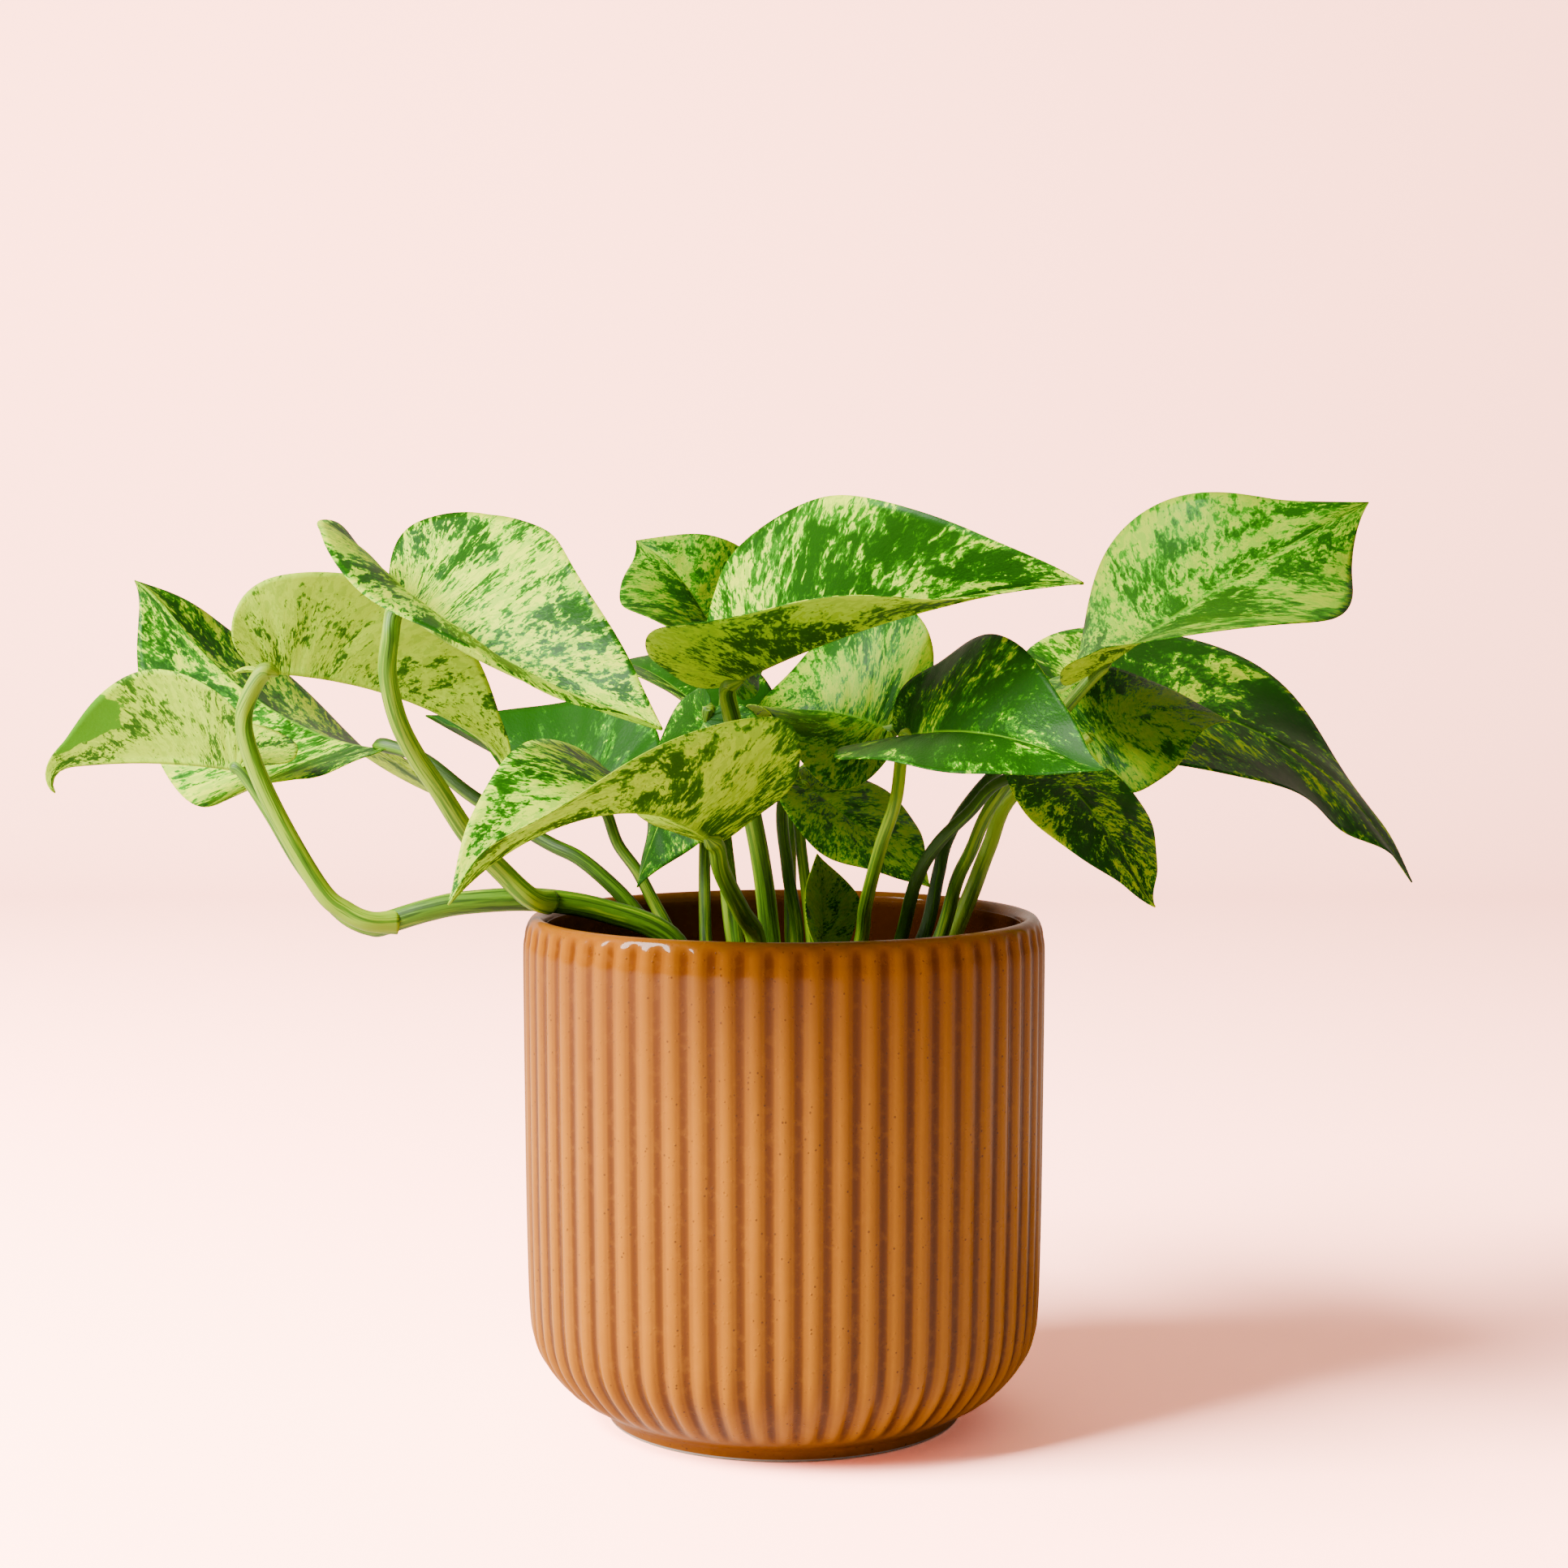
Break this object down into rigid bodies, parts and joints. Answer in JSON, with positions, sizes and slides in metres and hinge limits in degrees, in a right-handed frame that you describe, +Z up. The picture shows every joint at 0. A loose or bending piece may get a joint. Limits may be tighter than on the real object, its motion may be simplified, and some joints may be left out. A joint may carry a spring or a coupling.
{
  "type": "potted pothos plant",
  "caption": "Variegated pothos with arching heart-shaped leaves, stalks and a trailing vine, growing in soil in a fluted round ceramic pot.",
  "frame": {"origin": "centre of the pot's flat underside, on the surface that the pot stands on", "axes": "+Z up along the pot's axis, -Y towards the viewer's side of the plant, +X to the viewer's right"},
  "size_m": [0.4194, 0.2406, 0.2682],
  "materials": {
    "glaze": "satin gloss amber glaze with fine dark speckle",
    "soil": "loose matte potting mix",
    "stem": "smooth satin green",
    "leaf_green": "smooth leaf, deep green with cream marbling",
    "leaf_cream": "smooth leaf, cream with green marbling",
    "leaf_pale": "matte pale yellow-green leaf underside"
  },
  "bodies": {
    "root": {"pot": "glaze", "soil": "soil", "leaf_far_left": "leaf_pale", "leaf_left_high": "leaf_cream", "leaf_left_arch": "leaf_pale", "leaf_left_top": "leaf_cream", "leaf_under_left": "leaf_green", "leaf_front": "leaf_pale", "leaf_back_left": "leaf_cream", "leaf_top_centre": "leaf_green", "leaf_centre_right": "leaf_green", "leaf_pale_back": "leaf_pale", "leaf_hanging": "leaf_pale", "leaf_inner": "leaf_pale", "leaf_right_high": "leaf_cream", "leaf_right_droop": "leaf_green", "leaf_right_mid": "leaf_pale", "leaf_right_low": "leaf_green", "leaf_grey_back": "leaf_green", "leaf_behind_front": "leaf_green", "leaf_upright_back": "leaf_pale", "vine_left": "stem", "stalk_left_arch": "stem", "stalk_far_left": "stem", "stalk_left_top": "stem", "stalk_left_high": "stem", "stalk_under_left": "stem", "stalk_front": "stem", "stalk_back_left": "stem", "stalk_top_centre": "stem", "stalk_centre_right": "stem", "stalk_pale_back": "stem", "stalk_hanging": "stem", "stalk_right_high": "stem", "stalk_right_droop": "stem", "stalk_right_mid": "stem", "stalk_right_low": "stem", "stalk_behind_front": "stem", "stalk_grey_back": "stem", "stalk_upright_back": "stem", "stalk_inner": "stem"}
  },
  "joints": []
}
